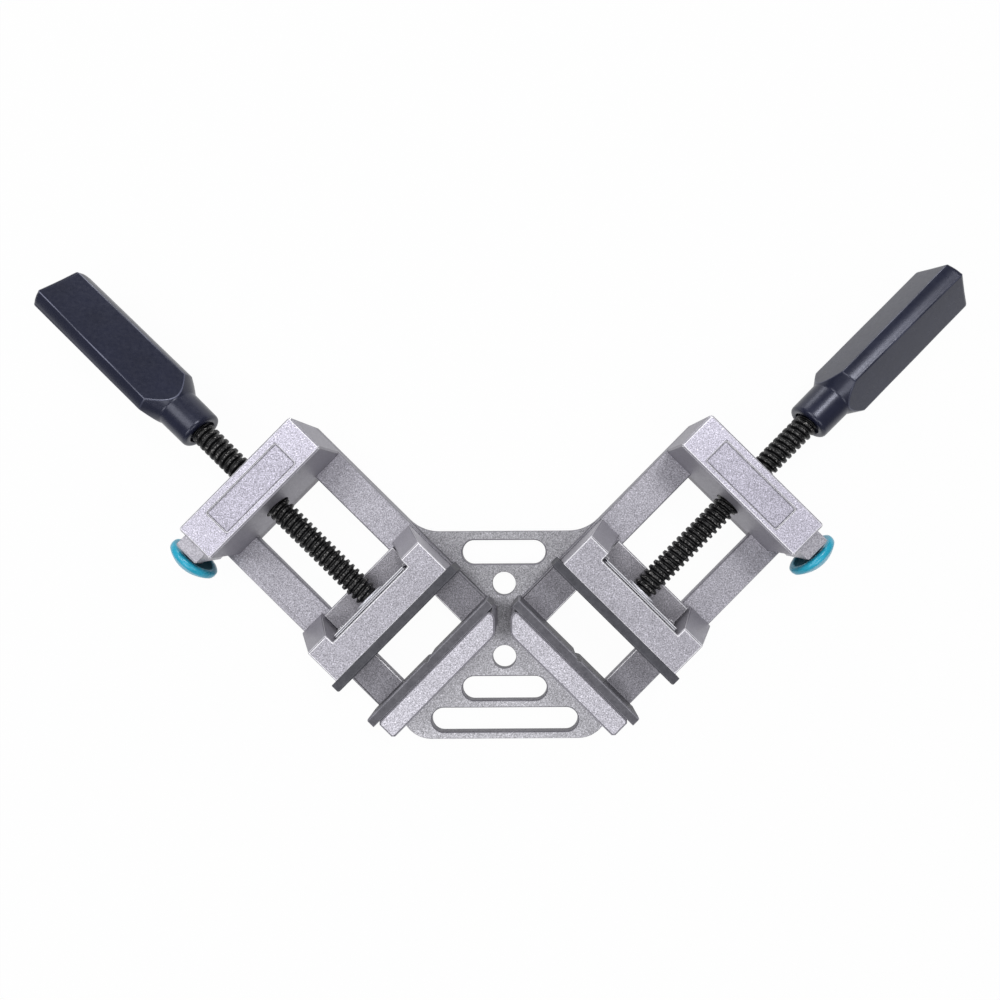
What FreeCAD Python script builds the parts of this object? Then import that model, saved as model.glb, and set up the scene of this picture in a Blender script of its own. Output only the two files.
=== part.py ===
import FreeCAD, Part
import os
from math import radians, sqrt

import Sketcher
from FreeCAD import Rotation, Vector

# Double-arm corner clamp for holding two workpieces at a right angle. A die-cast frame lies on the bench:
# a base plate with a fixed jaw block for each arm, and on each arm two rails that end in a bridge. A moving
# jaw slides on the rails, pushed by a screw through the bridge. A half nut inside the bridge holds the
# screw's thread, and a button on the bridge's end takes it out of the thread.
#
# The origin is the centre of the rear bench hole, on the bench plane. +X is to the right, +Y to the rear
# between the two arms, +Z up. The arms leave at 45 degrees to the rear left and rear right.
#
# Each arm's pieces are drawn in the arm's own frame: x outwards along the screw, y across the arm from the
# screw's axis, z up. For the frame and the bridge's pieces, x = 0 is level with the rear bench hole. For the
# jaw and the screw, x = 0 is the face of the moving jaw's pad.

SIZES = {
    # Base plate, placed from the rear bench hole
    "plate_thick": 5.0,
    "plate_rear": 25.0,
    "plate_half_width": 49.6,
    "plate_corner": 14.6,
    "web_corner": 20.0,
    "bench_hole_bore": 11.2,
    "bench_hole_pitch": 35.0,
    "slot_width": 11.5,
    "rear_slot_place": 15.0,
    "rear_slot_length": 40.0,
    "middle_slot_pitch": 15.0,
    "middle_slot_length": 40.4,
    "front_slot_pitch": 15.0,
    "front_slot_length": 70.0,
    "front_margin": 9.0,
    "slot_bevel": 0.3,
    # Arms: two rails, each a deck with a skirt down to the bench along its outer side
    "arm_inner_side": 10.3,
    "screw_height": 20.5,
    "arm_width": 71.4,
    "rail_width": 16.1,
    "rail_top": 10.0,
    "rail_deck": 4.0,
    "rail_skirt": 3.6,
    "rail_edge": 0.4,
    # Fixed jaw block
    "block_back": 12.1,
    "block_thick": 9.8,
    "block_inset": 0.5,
    "block_rise": 8.5,
    "block_corner": 1.2,
    "block_nose": 4.0,
    "block_edge": 0.7,
    "block_channel": 6.8,
    # Bridge at the arm's end
    "bridge_start": 98.6,
    "bridge_thick": 18.8,
    "bridge_top": 40.0,
    "bridge_inset": 3.8,
    "bridge_corner": 0.8,
    "bridge_edge": 0.8,
    "bridge_bore": 12.2,
    "panel_length": 42.2,
    "panel_width": 12.6,
    "panel_place": 8.9,
    "panel_depth": 0.6,
    "panel_shift": 2.4,
    "panel_corner": 1.5,
    # Pads
    "pad_thick": 4.35,
    "pad_length": 75.3,
    "pad_gap": 0.4,
    "pad_edge": 0.5,
    "groove_width": 4.0,
    "groove_depth": 1.2,
    # Moving jaw
    "left_opening": 17.5,
    "right_opening": 20.65,
    "jaw_inset": 0.8,
    "jaw_flare": 1.7,
    "jaw_front_thick": 13.2,
    "jaw_shoulder": 17.4,
    "jaw_length": 27.3,
    "jaw_toe": 1.2,
    "jaw_edge": 0.5,
    "pocket_width": 47.0,
    "shelf_inset": 1.15,
    "shelf_reach": 12.5,
    "shelf_thick": 3.7,
    "shelf_bevel": 0.6,
    "lug_length": 2.4,
    "lug_width": 1.2,
    "lug_height": 2.0,
    "relief_gap": 0.4,
    "guide_gap": 0.3,
    "tongue_inset": 1.6,
    # Keeper plate under the rails
    "keeper_thick": 3.4,
    "keeper_lap": 7.9,
    "keeper_gap": 0.25,
    "keeper_corner": 3.0,
    # Screw, its thrust end and its retaining plate
    "screw_major": 11.2,
    "tip_length": 7.3,
    "tip_gap": 0.1,
    "tip_end_gap": 0.2,
    "neck_width": 7.4,
    "retainer_seat": 0.4,
    "retainer_thick": 1.4,
    "retainer_inset": 0.5,
    "retainer_rise": 7.0,
    "retainer_corner": 1.0,
    "retainer_play": 0.25,
    "washer_width": 15.0,
    "washer_thick": 1.6,
    "washer_play": 0.1,
    "shank_width": 9.0,
    "shank_length": 36.0,
    # Handle
    "handle_start": 127.2,
    "handle_length": 90.0,
    "handle_neck": 15.6,
    "handle_neck_width": 19.0,
    "handle_shoulder": 8.7,
    "handle_inradius": 10.0,
    "handle_corner": 13.2,
    "handle_edge": 0.6,
    "handle_end_edge": 0.8,
    "socket_mouth": 12.6,
    "socket_mouth_depth": 3.0,
    "left_handle_roll": 30.0,
    "right_handle_roll": 42.4,
    # Quick release: half nut, button and spring
    "nut_place": 10.4,
    "nut_thick": 12.0,
    "nut_lift": 0.8,
    "channel_roof": 5.0,
    "nut_inner_reach": 16.0,
    "nut_outer_reach": 39.6,
    "nut_corner": 0.8,
    "nut_gap": 0.1,
    "thread_gap": 0.05,
    "release_travel": 3.5,
    "release_spare": 0.4,
    "channel_reach": 30.0,
    "button_width": 23.5,
    "button_rise": 0.5,
    "button_stand": 2.1,
    "button_rim": 3.2,
    "button_dome": 4.6,
    "stem_width": 8.0,
    "stem_length": 6.0,
    "stem_gap": 0.05,
    "spring_width": 7.6,
    "spring_wire": 0.9,
    "spring_seat": 6.0,
    "spring_play": 0.3,
}

HALF_SQUARE = sqrt(0.5)
doc = FreeCAD.newDocument("corner_clamp")
nodes = []


class Length:
    """A size from the sheet, or one worked out from such sizes: its number now and its formula."""

    def __init__(self, number, formula):
        self.number = number
        self.formula = formula

    def joined(self, sign, other, number):
        text = other.formula if isinstance(other, Length) else repr(float(other))
        return Length(number, f"({self.formula} {sign} {text})")

    def __add__(self, other):
        return self.joined("+", other, self.number + plain(other))

    def __sub__(self, other):
        return self.joined("-", other, self.number - plain(other))

    def __mul__(self, other):
        return self.joined("*", other, self.number * plain(other))

    def __truediv__(self, other):
        return self.joined("/", other, self.number / plain(other))

    def __neg__(self):
        return self * -1

    def up_to(self, most):
        """This length where there is room for it, and otherwise the most that there is."""
        return Length(min(self.number, most.number), f"min({self.formula}; {most.formula})")


def plain(size):
    """The number of a length, or a number as it is."""
    return size.number if isinstance(size, Length) else float(size)


class Sheet:
    """The spreadsheet of driving sizes, each read as an attribute with its alias."""

    def __init__(self, sizes):
        self.cells = doc.addObject("Spreadsheet::Sheet", "sizes")
        for row, (alias, number) in enumerate(sizes.items(), start=1):
            self.cells.set(f"A{row}", alias)
            self.cells.set(f"B{row}", str(number))
            self.cells.setAlias(f"B{row}", alias)
        doc.recompute()

    def __getattr__(self, alias):
        return Length(float(self.cells.get(alias)), f"sizes.{alias}")


S = Sheet(SIZES)
ZERO = S.plate_thick * 0


# Drawing: sketches on a body's own origin planes, with every point tied to the sheet

def tie(thing, prop, size):
    """Ties a property to the sheet."""
    thing.setExpression(prop, size.formula)


def new_body(name):
    return doc.addObject("PartDesign::Body", name)


def origin_feature(body, role):
    return next(item for item in body.Origin.OriginFeatures if item.Role == role)


def new_sketch(body, plane, name, lift=ZERO, shift=(ZERO, ZERO)):
    """Empty sketch on an origin plane, lifted along the plane's normal and shifted in the plane."""
    sketch = body.newObject("Sketcher::SketchObject", name)
    sketch.AttachmentSupport = [(origin_feature(body, plane), "")]
    sketch.MapMode = "FlatFace"
    for axis, size in zip("xyz", (*shift, lift)):
        tie(sketch, f"AttachmentOffset.Base.{axis}", size)
    return sketch


def fix(sketch, kind, size, *where):
    """Adds a constraint of a size and ties it to the sheet."""
    index = sketch.addConstraint(Sketcher.Constraint(kind, *where, plain(size)))
    tie(sketch, f"Constraints[{index}]", size)


def fix_point(sketch, geometry, position, point):
    """Ties one point of the sketch by its two distances from the sketch's origin."""
    fix(sketch, "DistanceX", point[0], -1, 1, geometry, position)
    fix(sketch, "DistanceY", point[1], -1, 1, geometry, position)


def at(point):
    return Vector(plain(point[0]), plain(point[1]), 0)


def add_polygon(sketch, points):
    """Closed outline with straight sides."""
    first = sketch.GeometryCount
    following = points[1:] + points[:1]
    for start, end in zip(points, following):
        sketch.addGeometry(Part.LineSegment(at(start), at(end)))
    for index, point in enumerate(points):
        joined = first + (index + 1) % len(points)
        sketch.addConstraint(Sketcher.Constraint("Coincident", first + index, 2, joined, 1))
        fix_point(sketch, first + index, 1, point)
    return sketch


def add_rectangle(sketch, low, high):
    return add_polygon(sketch, [low, (high[0], low[1]), high, (low[0], high[1])])


def add_circle(sketch, centre, width):
    index = sketch.addGeometry(Part.Circle(at(centre), Vector(0, 0, 1), plain(width) / 2))
    fix_point(sketch, index, 3, centre)
    fix(sketch, "Diameter", width, index)
    return sketch


def add_slot(sketch, centre, spread, width):
    """Slot with round ends along the sketch's x, the centres of its ends a spread apart."""
    right_end = (centre[0] + spread / 2, centre[1])
    left_end = (centre[0] - spread / 2, centre[1])
    arcs = []
    for end, start, stop in ((right_end, -90, 90), (left_end, 90, 270)):
        circle = Part.Circle(at(end), Vector(0, 0, 1), plain(width) / 2)
        arcs.append(sketch.addGeometry(Part.ArcOfCircle(circle, radians(start), radians(stop))))
        fix_point(sketch, arcs[-1], 3, end)
    rise = Vector(0, plain(width) / 2, 0)
    upper = sketch.addGeometry(Part.LineSegment(at(right_end) + rise, at(left_end) + rise))
    lower = sketch.addGeometry(Part.LineSegment(at(left_end) - rise, at(right_end) - rise))
    right, left = arcs
    for one, other in ((right, upper), (upper, left), (left, lower), (lower, right)):
        sketch.addConstraint(Sketcher.Constraint("Tangent", one, 2, other, 1))
    sketch.addConstraint(Sketcher.Constraint("Equal", right, left))
    fix(sketch, "Diameter", width, right)
    return sketch


# Solids: each feature is tied to the sheet, and checked for having added or taken away

def volume(body):
    return 0.0 if body.Shape.isNull() else body.Shape.Volume


def check_change(feature, body, before, adds):
    gained = volume(body) - before
    if abs(gained) < 1e-6 or (gained > 0) != adds:
        raise ValueError(f"{feature.Name} changed the volume by {gained:.4f}")


def extrude(body, kind, sketch, name, length, reverse, middle):
    doc.recompute()
    before = volume(body)
    feature = body.newObject(f"PartDesign::{kind}", name)
    feature.Profile = sketch
    feature.Reversed = reverse
    feature.Midplane = middle
    tie(feature, "Length", length)
    doc.recompute()
    check_change(feature, body, before, kind == "Pad")
    return feature


def pad(body, sketch, name, length, reverse=False, middle=False):
    return extrude(body, "Pad", sketch, name, length, reverse, middle)


def pocket(body, sketch, name, length, reverse=False, middle=False):
    return extrude(body, "Pocket", sketch, name, length, reverse, middle)


def turned(body, kind, sketch, name, axis):
    """Revolution or Groove: the sketch turned once round one of its own axes."""
    doc.recompute()
    before = volume(body)
    feature = body.newObject(f"PartDesign::{kind}", name)
    feature.Profile = sketch
    feature.ReferenceAxis = (sketch, [axis])
    feature.Angle = 360
    doc.recompute()
    check_change(feature, body, before, kind == "Revolution")
    return feature


def mirror_across(body, feature, name):
    """Repeats a feature on the other side of the arm."""
    before = volume(body)
    copy = body.newObject("PartDesign::Mirrored", name)
    copy.Originals = [feature]
    copy.MirrorPlane = (origin_feature(body, "XZ_Plane"), [""])
    body.Tip = copy
    doc.recompute()
    if abs(volume(body) - before) < 1e-6:
        raise ValueError(f"{name} changed nothing")
    return copy


def dress(body, kind, name, size, wanted):
    """Fillet or Chamfer on the edges that the test picks."""
    doc.recompute()
    before = volume(body)
    base = body.Tip
    edges = [f"Edge{i}" for i, edge in enumerate(base.Shape.Edges, start=1) if wanted(edge)]
    if not edges:
        raise ValueError(f"{name} found no edges")
    feature = body.newObject(f"PartDesign::{kind}", name)
    feature.Base = (base, edges)
    tie(feature, "Radius" if kind == "Fillet" else "Size", size)
    doc.recompute()
    if abs(volume(body) - before) < 1e-9 or not feature.isValid():
        raise ValueError(f"{name} changed nothing")
    return feature


def near(number, *sizes):
    """Whether a number equals one of the sizes."""
    return any(abs(number - plain(size)) < 1e-3 for size in sizes)


def runs_along(edge, axis):
    """Whether a straight edge runs along axis 0, 1 or 2."""
    return isinstance(edge.Curve, Part.Line) and near(abs(tuple(edge.Curve.Direction)[axis]), 1)


def level_at(edge, height):
    """Whether an edge lies level at a height."""
    return near(edge.BoundBox.ZMin, height) and near(edge.BoundBox.ZMax, height)


def centre_of(edge):
    return edge.BoundBox.Center


def keep(piece, label):
    """Makes an object one of the nodes that are written out."""
    piece.Label = label
    nodes.append(piece)
    return piece


# Arms: what differs between the two sides, and the places that their pieces share

class Arm:
    """One of the two arms. The hand is +1 on the left and -1 on the right, and turns y to the button's side."""

    def __init__(self, name, hand, opening, roll):
        self.name = name
        self.hand = hand
        self.opening = opening
        self.roll = roll

    def label(self, piece):
        return f"{self.name}_{piece}"


ARMS = [
    Arm("left", 1, S.left_opening, S.left_handle_roll),
    Arm("right", -1, S.right_opening, S.right_handle_roll),
]

middle_slot_place = S.bench_hole_pitch + S.middle_slot_pitch
front_slot_place = middle_slot_place + S.front_slot_pitch
plate_front = front_slot_place + S.front_margin
arm_half = S.arm_width / 2
axis_offset = S.arm_inner_side + arm_half
block_face = S.block_thick - S.block_back
block_half = arm_half - S.block_inset
block_top = S.screw_height + S.block_rise
fixed_face = block_face + S.pad_thick
pad_bottom = S.rail_top + S.pad_gap
channel_diagonal = S.block_channel * HALF_SQUARE
bridge_end = S.bridge_start + S.bridge_thick
bridge_reach = arm_half - S.bridge_inset
window_half = arm_half - S.rail_width
deck_underside = S.rail_top - S.rail_deck
jaw_underside = S.rail_top + S.guide_gap
jaw_half = arm_half - S.jaw_inset
shelf_half = S.pocket_width / 2 - S.shelf_inset
shelf_top = jaw_underside + S.shelf_thick
retainer_top = S.screw_height + S.retainer_rise
nut_bottom = S.rail_top + S.nut_lift
nut_top = S.bridge_top - S.channel_roof
button_height = S.screw_height + S.button_rise
nut_middle = S.bridge_start + S.nut_place
button_place = S.nut_outer_reach + S.button_stand
keeper_top = deck_underside - S.keeper_gap
keeper_bottom = keeper_top - S.keeper_thick
pocket_wall = S.pad_thick + S.jaw_front_thick
retainer_face = pocket_wall + S.retainer_seat
retainer_back = retainer_face + S.retainer_thick
neck_end = retainer_back + S.washer_thick + S.washer_play * 2
tip_start = retainer_face - S.tip_gap - S.tip_length


def place_on_arm(piece, arm, outwards=ZERO, height=ZERO, roll=0.0):
    """Puts a piece that is drawn in the arm's frame on its arm, rolled about its own x axis."""
    turn = Rotation(Vector(0, 0, 1), 135 if arm.hand > 0 else 45)
    piece.Placement.Rotation = turn * Rotation(Vector(1, 0, 0), roll)
    tie(piece, "Placement.Base.x", (outwards + axis_offset) * (-arm.hand * HALF_SQUARE))
    tie(piece, "Placement.Base.y", (outwards - axis_offset) * HALF_SQUARE)
    tie(piece, "Placement.Base.z", height)


def place_on_jaw(piece, arm, height=ZERO, roll=0.0):
    """Puts a piece where its arm's moving jaw stands."""
    place_on_arm(piece, arm, fixed_face + arm.opening, height, roll)


# Frame casting: base plate, and on each side an arm with its fixed jaw block, rails and bridge

def plate_half(side):
    """The plate's outline on one side, from the front to the rear, its stub along the arm's inner side."""
    under = S.arm_inner_side + S.rail_skirt / 2
    inside_block = block_face - S.block_corner
    side_end = inside_block * sqrt(2) - S.plate_half_width
    stub_end = S.plate_rear * sqrt(2) + S.arm_inner_side + S.web_corner / 2

    def on_arm(outwards, across):
        return ((outwards + across) * (HALF_SQUARE * side), (outwards - across) * HALF_SQUARE)

    return [
        (S.plate_half_width * side, -plate_front),
        (S.plate_half_width * side, side_end),
        on_arm(inside_block, under),
        on_arm(stub_end, under),
        on_arm(stub_end, S.arm_inner_side),
        ((S.plate_rear + S.arm_inner_side * sqrt(2)) * side, S.plate_rear),
    ]


def base_plate():
    body = new_body("base_plate")
    outline = new_sketch(body, "XY_Plane", "plate_outline")
    right_half = plate_half(1)
    add_polygon(outline, right_half + plate_half(-1)[::-1])
    pad(body, outline, "plate", S.plate_thick)
    dress(body, "Fillet", "web_corners", S.web_corner,
          lambda e: runs_along(e, 2) and near(centre_of(e).y, S.plate_rear))
    side_length = right_half[1][1] - right_half[0][1]
    dress(body, "Fillet", "front_corners", S.plate_corner.up_to(side_length * 0.9),
          lambda e: runs_along(e, 2) and near(centre_of(e).y, -plate_front))
    holes = new_sketch(body, "XY_Plane", "bench_hole_circles", lift=S.plate_thick)
    add_circle(holes, (ZERO, ZERO), S.bench_hole_bore)
    add_circle(holes, (ZERO, -S.bench_hole_pitch), S.bench_hole_bore)
    pocket(body, holes, "bench_holes", S.plate_thick)
    unbevelled = [centre_of(e) for e in body.Shape.Edges if level_at(e, S.plate_thick)]
    slots = new_sketch(body, "XY_Plane", "slot_outlines", lift=S.plate_thick)
    for place, length in (
        (S.rear_slot_place, S.rear_slot_length),
        (-middle_slot_place, S.middle_slot_length),
        (-front_slot_place, S.front_slot_length),
    ):
        add_slot(slots, (ZERO, place), length - S.slot_width, S.slot_width)
    pocket(body, slots, "bench_slots", S.plate_thick)
    dress(body, "Chamfer", "slot_bevels", S.slot_bevel,
          lambda e: level_at(e, S.plate_thick)
          and all(centre_of(e).distanceToPoint(middle) > 1e-3 for middle in unbevelled))
    return body


def arm_casting(arm):
    """Fixed jaw block, rails and bridge of one arm."""
    body = new_body(arm.label("arm"))
    add_block(body, arm)
    add_bridge_and_rails(body, arm)
    dress_bridge_and_rails(body, arm)
    cut_bridge(body, arm)
    place_on_arm(body, arm)
    return body


def add_block(body, arm):
    """The block ends in a slanted corner, which leaves a straight channel between the two blocks."""
    outer = block_half * arm.hand
    nose = channel_diagonal - axis_offset + block_half
    outline = new_sketch(body, "XY_Plane", arm.label("block_outline"))
    add_polygon(outline, [
        (-S.block_back, outer),
        (block_face, outer),
        (block_face, -outer),
        (nose, -outer),
        (-S.block_back, (channel_diagonal + S.block_back - axis_offset) * arm.hand),
    ])
    pad(body, outline, arm.label("block"), block_top)
    dress(body, "Fillet", arm.label("block_nose"), S.block_nose,
          lambda e: runs_along(e, 2) and near(centre_of(e).x, nose))
    dress(body, "Chamfer", arm.label("block_corners"), S.block_corner,
          lambda e: runs_along(e, 2) and near(centre_of(e).x, block_face, -S.block_back))
    dress(body, "Chamfer", arm.label("block_rim"), S.block_edge, lambda e: level_at(e, block_top))


def add_bridge_and_rails(body, arm):
    """Each rail is a deck with a skirt down to the bench, and both run on under the bridge."""
    bridge = new_sketch(body, "XY_Plane", arm.label("bridge_outline"))
    add_rectangle(bridge, (S.bridge_start, arm_half * -arm.hand), (bridge_end, bridge_reach * arm.hand))
    pad(body, bridge, arm.label("bridge"), S.bridge_top)
    rails_start = channel_diagonal - S.arm_inner_side
    section = new_sketch(body, "YZ_Plane", arm.label("rail_sections"), lift=rails_start)
    for side in (-1, 1):
        add_polygon(section, [
            (window_half * side, S.rail_top),
            (arm_half * side, S.rail_top),
            (arm_half * side, ZERO),
            ((arm_half - S.rail_skirt) * side, ZERO),
            ((arm_half - S.rail_skirt) * side, deck_underside),
            (window_half * side, deck_underside),
        ])
    pad(body, section, arm.label("rails"), bridge_end - rails_start)


def dress_bridge_and_rails(body, arm):
    def is_upright_corner(edge):
        middle = centre_of(edge)
        return (runs_along(edge, 2) and near(middle.x, S.bridge_start, bridge_end)
                and near(middle.y * arm.hand, bridge_reach, -arm_half, arm_half)
                and edge.BoundBox.ZMax > plain(S.rail_top) - 1e-3)

    dress(body, "Chamfer", arm.label("bridge_corners"), S.bridge_corner, is_upright_corner)
    dress(body, "Chamfer", arm.label("rail_edges"), S.rail_edge,
          lambda e: runs_along(e, 0) and level_at(e, S.rail_top)
          and near(abs(centre_of(e).y), arm_half, window_half) and e.Length > plain(S.bridge_start) / 2)
    dress(body, "Chamfer", arm.label("bridge_rim"), S.bridge_edge, lambda e: level_at(e, S.bridge_top))


def cut_bridge(body, arm):
    """Cuts the screw's bore, the half nut's channel and the sunk panel on top."""
    bore = new_sketch(body, "YZ_Plane", arm.label("bore_circle"), lift=bridge_end)
    add_circle(bore, (ZERO, S.screw_height), S.bridge_bore)
    pocket(body, bore, arm.label("bore"), S.bridge_thick)
    half = S.nut_thick / 2 + S.nut_gap
    channel = new_sketch(body, "XY_Plane", arm.label("channel_outline"), lift=nut_top + S.nut_gap)
    add_rectangle(channel, (nut_middle - half, S.channel_reach * -arm.hand),
                  (nut_middle + half, S.nut_outer_reach * arm.hand))
    pocket(body, channel, arm.label("channel"), nut_top - nut_bottom + S.nut_gap * 2)
    panel = new_sketch(body, "XY_Plane", arm.label("panel_outline"), lift=S.bridge_top)
    panel_middle = S.bridge_start + S.panel_place
    add_rectangle(panel,
                  (panel_middle - S.panel_width / 2, (S.panel_shift + S.panel_length / 2) * -arm.hand),
                  (panel_middle + S.panel_width / 2, (S.panel_shift - S.panel_length / 2) * -arm.hand))
    pocket(body, panel, arm.label("panel"), S.panel_depth)
    dress(body, "Fillet", arm.label("panel_corners"), S.panel_corner,
          lambda e: runs_along(e, 2) and near(e.BoundBox.ZMax, S.bridge_top)
          and near(e.Length, S.panel_depth))


def frame_casting():
    casting = doc.addObject("Part::MultiFuse", "frame_casting")
    casting.Shapes = [base_plate()] + [arm_casting(arm) for arm in ARMS]
    casting.Refine = True
    keep(casting, "frame_casting")


# Pads: flat dark plates on the faces of the fixed blocks and the moving jaws

def pad_plate(arm, piece, back, face):
    body = new_body(arm.label(piece))
    outline = new_sketch(body, "XY_Plane", arm.label(f"{piece}_outline"), lift=pad_bottom)
    add_rectangle(outline, (back, S.pad_length / -2), (face, S.pad_length / 2))
    pad(body, outline, arm.label(f"{piece}_plate"), block_top - pad_bottom)
    dress(body, "Chamfer", arm.label(f"{piece}_bevel"), S.pad_edge,
          lambda e: near(e.BoundBox.XMin, face) and near(e.BoundBox.XMax, face))
    return keep(body, arm.label(piece))


def fixed_jaw_pad(arm):
    """The fixed pad has an upright groove in the middle, which seats a round workpiece."""
    body = pad_plate(arm, "fixed_jaw_pad", block_face, fixed_face)
    groove = new_sketch(body, "XY_Plane", arm.label("pad_groove_outline"), lift=block_top)
    add_polygon(groove, [
        (fixed_face, S.groove_width / -2),
        (fixed_face, S.groove_width / 2),
        (fixed_face - S.groove_depth, ZERO),
    ])
    pocket(body, groove, arm.label("pad_groove"), block_top - pad_bottom)
    place_on_arm(body, arm)


def moving_jaw_pad(arm):
    place_on_jaw(pad_plate(arm, "moving_jaw_pad", S.pad_thick, ZERO), arm)


# Moving jaw: a casting with two sloped shoulders, a pocket for the screw's end and a tongue between the rails

def moving_jaw(arm):
    """The jaw's side is upright towards the other arm, and its foot spreads out on the arm's outer side."""
    body = new_body(arm.label("moving_jaw"))
    length = S.pad_thick + S.jaw_length
    side = new_sketch(body, "XZ_Plane", arm.label("jaw_side"))
    add_polygon(side, [
        (S.pad_thick, jaw_underside),
        (S.pad_thick, block_top),
        (S.pad_thick + S.jaw_shoulder, block_top),
        (length, jaw_underside + S.jaw_toe),
        (length, jaw_underside),
    ])
    foot = jaw_half + S.jaw_flare
    pad(body, side, arm.label("jaw_block"), foot * 2, middle=True)
    flare = new_sketch(body, "YZ_Plane", arm.label("jaw_side_outlines"), lift=length)
    add_rectangle(flare, (foot * -arm.hand, jaw_underside), (jaw_half * -arm.hand, block_top))
    add_polygon(flare, [
        (foot * arm.hand, jaw_underside + S.jaw_toe),
        (foot * arm.hand, block_top),
        (jaw_half * arm.hand, block_top),
    ])
    pocket(body, flare, arm.label("jaw_sides"), length)
    opening = new_sketch(body, "XY_Plane", arm.label("jaw_pocket_outline"), lift=block_top)
    half = S.pocket_width / 2
    add_rectangle(opening, (pocket_wall, -half), (length, half))
    pocket(body, opening, arm.label("jaw_pocket"), block_top - jaw_underside)
    dress(body, "Chamfer", arm.label("jaw_edges"), S.jaw_edge, is_jaw_edge)
    add_shelf_and_tongue(body, arm)
    bore = new_sketch(body, "YZ_Plane", arm.label("tip_bore_circle"), lift=pocket_wall)
    add_circle(bore, (ZERO, S.screw_height), S.screw_major + S.tip_gap * 2)
    pocket(body, bore, arm.label("tip_bore"), pocket_wall - tip_start + S.tip_end_gap)
    place_on_jaw(keep(body, arm.label("moving_jaw")), arm)


def is_jaw_edge(edge):
    """The edges round the jaw's top and down its two sloped shoulders, without those against the pad."""
    reaches_top = near(edge.BoundBox.ZMax, block_top)
    behind = edge.BoundBox.XMax > plain(S.pad_thick) + 1e-3
    inside = near(centre_of(edge).x, pocket_wall) and runs_along(edge, 2)
    return reaches_top and behind and not inside


def add_shelf_and_tongue(body, arm):
    """The shelf carries the retaining plate between two lugs. The tongue reaches down to the keeper."""
    rear = pocket_wall + S.shelf_reach
    half = shelf_half
    shelf = new_sketch(body, "XY_Plane", arm.label("shelf_outline"), lift=jaw_underside)
    add_rectangle(shelf, (pocket_wall - S.jaw_edge, -half), (rear, half))
    pad(body, shelf, arm.label("shelf"), shelf_top - jaw_underside)
    relief = new_sketch(body, "XY_Plane", arm.label("washer_relief_outline"), lift=S.screw_height)
    add_rectangle(relief, (retainer_back, ZERO),
                  (neck_end + S.relief_gap, S.washer_width / 2 + S.relief_gap))
    turned(body, "Groove", relief, arm.label("washer_relief"), "H_Axis")
    dress(body, "Chamfer", arm.label("shelf_bevel"), S.shelf_bevel,
          lambda e: level_at(e, shelf_top) and near(centre_of(e).x, rear))
    tongue = new_sketch(body, "XY_Plane", arm.label("tongue_outline"), lift=jaw_underside)
    tongue_half = window_half - S.guide_gap
    add_rectangle(tongue, (S.pad_thick + S.tongue_inset, -tongue_half), (rear, tongue_half))
    pad(body, tongue, arm.label("tongue"), jaw_underside - keeper_top, reverse=True)
    lug = new_sketch(body, "XY_Plane", arm.label("lug_outline"), lift=shelf_top)
    lug_start = retainer_back + S.retainer_play / 2
    add_rectangle(lug, (lug_start, half - S.lug_length), (lug_start + S.lug_width, half))
    one = pad(body, lug, arm.label("lug"), S.lug_height)
    mirror_across(body, one, arm.label("lugs"))


# Keeper plate: under the tongue, it holds the jaw down on the rails

def keeper_plate(arm):
    body = new_body(arm.label("keeper_plate"))
    outline = new_sketch(body, "XY_Plane", arm.label("keeper_outline"), lift=keeper_bottom)
    half = window_half + S.keeper_lap
    add_rectangle(outline, (S.pad_thick + S.tongue_inset, -half), (pocket_wall + S.shelf_reach, half))
    pad(body, outline, arm.label("keeper_blank"), S.keeper_thick)
    dress(body, "Fillet", arm.label("keeper_corners"), S.keeper_corner, lambda e: runs_along(e, 2))
    place_on_jaw(keep(body, arm.label("keeper_plate")), arm)


# Retaining plate: dropped over the screw's neck from above, it makes the jaw follow the screw back

def retaining_plate(arm):
    body = new_body(arm.label("retaining_plate"))
    outline = new_sketch(body, "YZ_Plane", arm.label("retainer_outline"), lift=retainer_face)
    half = shelf_half - S.retainer_inset
    add_rectangle(outline, (-half, shelf_top), (half, retainer_top))
    pad(body, outline, arm.label("retainer"), S.retainer_thick)
    dress(body, "Fillet", arm.label("retainer_corners"), S.retainer_corner,
          lambda e: runs_along(e, 0) and near(centre_of(e).z, retainer_top))
    width = S.neck_width + S.retainer_play * 2
    arch = new_sketch(body, "YZ_Plane", arm.label("neck_arch"), lift=retainer_back)
    add_circle(arch, (ZERO, S.screw_height), width)
    pocket(body, arch, arm.label("neck_hole"), S.retainer_thick)
    throat = new_sketch(body, "YZ_Plane", arm.label("throat_outline"), lift=retainer_back)
    add_rectangle(throat, (width / -2, shelf_top), (width / 2, S.screw_height))
    pocket(body, throat, arm.label("throat"), S.retainer_thick)
    place_on_jaw(keep(body, arm.label("retaining_plate")), arm)


# Screw, washer and handle: all three are drawn about their own axis

def turned_piece(arm, piece, points):
    body = new_body(arm.label(piece))
    outline = new_sketch(body, "XY_Plane", arm.label(f"{piece}_outline"))
    add_polygon(outline, points)
    turned(body, "Revolution", outline, arm.label(f"{piece}_turned"), "H_Axis")
    keep(body, arm.label(piece))
    return body


def clamp_screw(arm):
    """Thrust tip, neck for the retaining plate, the length that is threaded, and the shank in the handle."""
    outer = S.screw_major / 2
    neck = S.neck_width / 2
    shank = S.shank_width / 2
    tip_end = retainer_face - S.tip_gap
    thread_end = S.handle_start + S.socket_mouth_depth
    body = turned_piece(arm, "clamp_screw", [
        (tip_start, ZERO),
        (tip_start, outer),
        (tip_end, outer),
        (tip_end, neck),
        (neck_end, neck),
        (neck_end, outer),
        (thread_end, outer),
        (thread_end, shank),
        (thread_end + S.shank_length, shank),
        (thread_end + S.shank_length, ZERO),
    ])
    place_on_jaw(body, arm, S.screw_height)


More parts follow.
